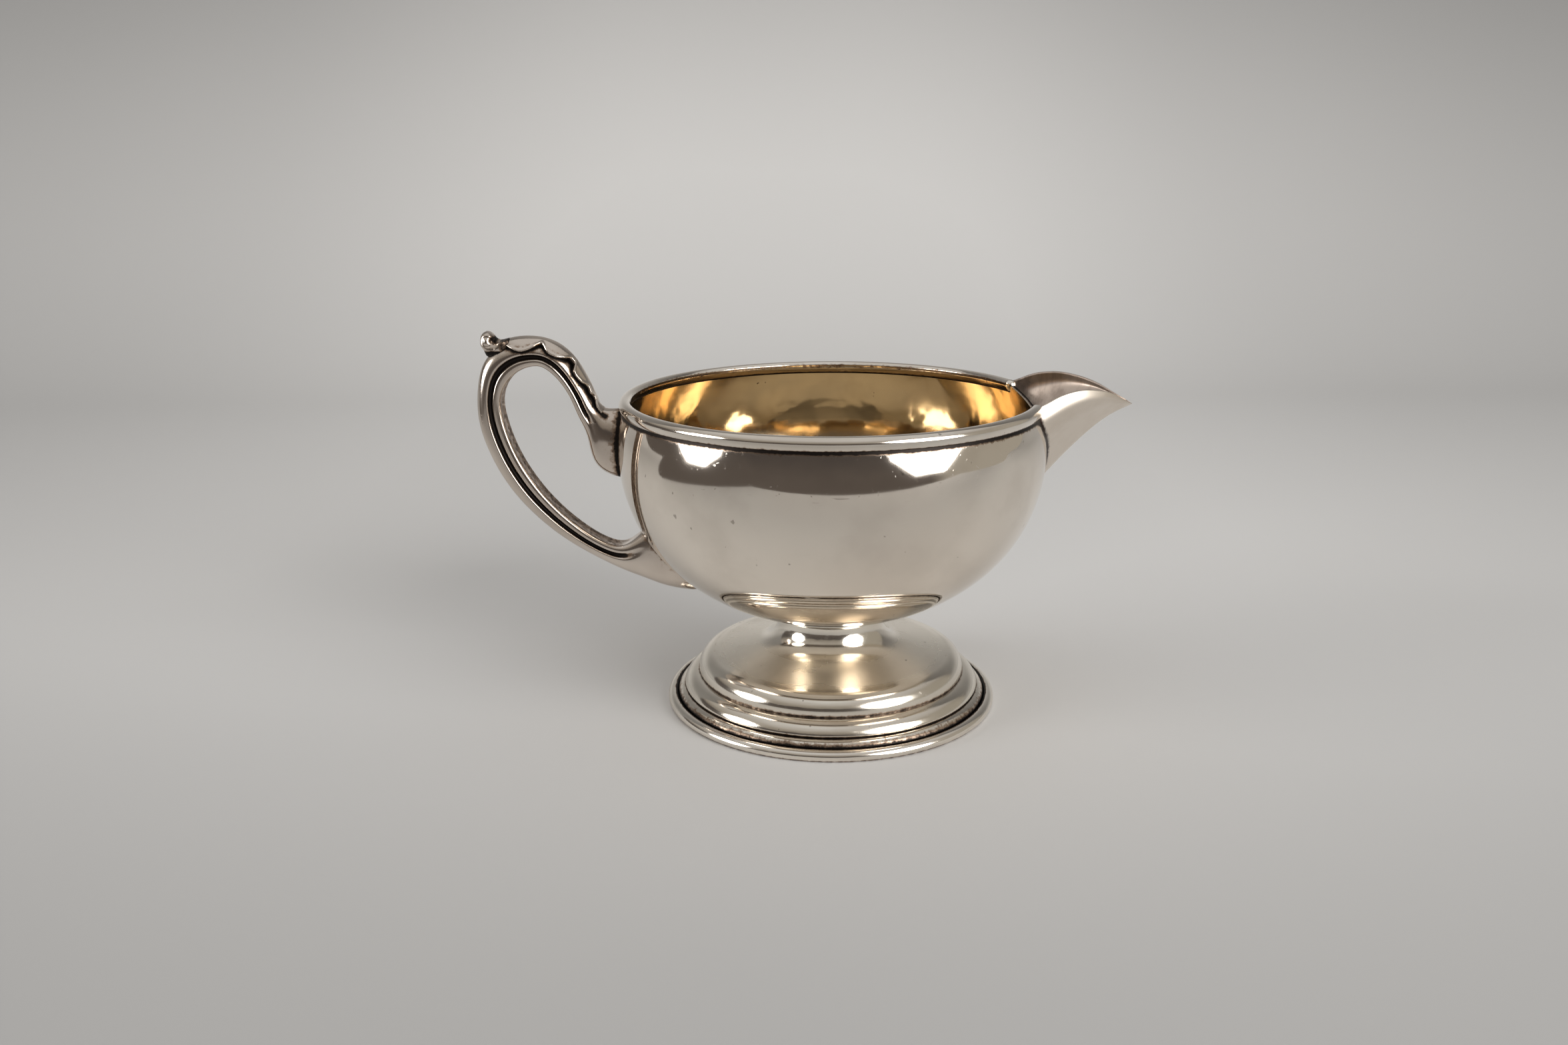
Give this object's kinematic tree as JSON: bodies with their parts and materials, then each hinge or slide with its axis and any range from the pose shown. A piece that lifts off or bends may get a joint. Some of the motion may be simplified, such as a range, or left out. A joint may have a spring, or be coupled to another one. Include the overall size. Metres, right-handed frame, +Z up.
{
  "type": "cream jug",
  "caption": "Footed silver cream jug with a round bowl, beaded rim, beak spout and a hollow loop handle with thumb leaf.",
  "frame": {"origin": "centre of the foot ring's flat underside, where the jug stands", "axes": "+Z up, +X towards the spout, -X towards the handle, Y across"},
  "size_m": [0.153, 0.1, 0.0904],
  "materials": {
    "bowl_silver": "polished silver with fine wear",
    "gilt": "worn gold wash",
    "rim_silver": "polished silver",
    "spout_silver": "satin silver, scratched inside",
    "handle_silver": "polished silver, dark tarnish in the grooves",
    "leaf_silver": "polished silver",
    "foot_silver": "polished silver, dark tarnish in the grooves",
    "ring_silver": "polished silver"
  },
  "bodies": {
    "root": {"bowl": "bowl_silver", "gilt_lining": "gilt", "rim_wire": "rim_silver", "spout": "spout_silver", "handle_left_half": "handle_silver", "handle_right_half": "handle_silver", "thumb_leaf": "leaf_silver", "foot": "foot_silver", "foot_ring": "ring_silver"}
  },
  "joints": []
}
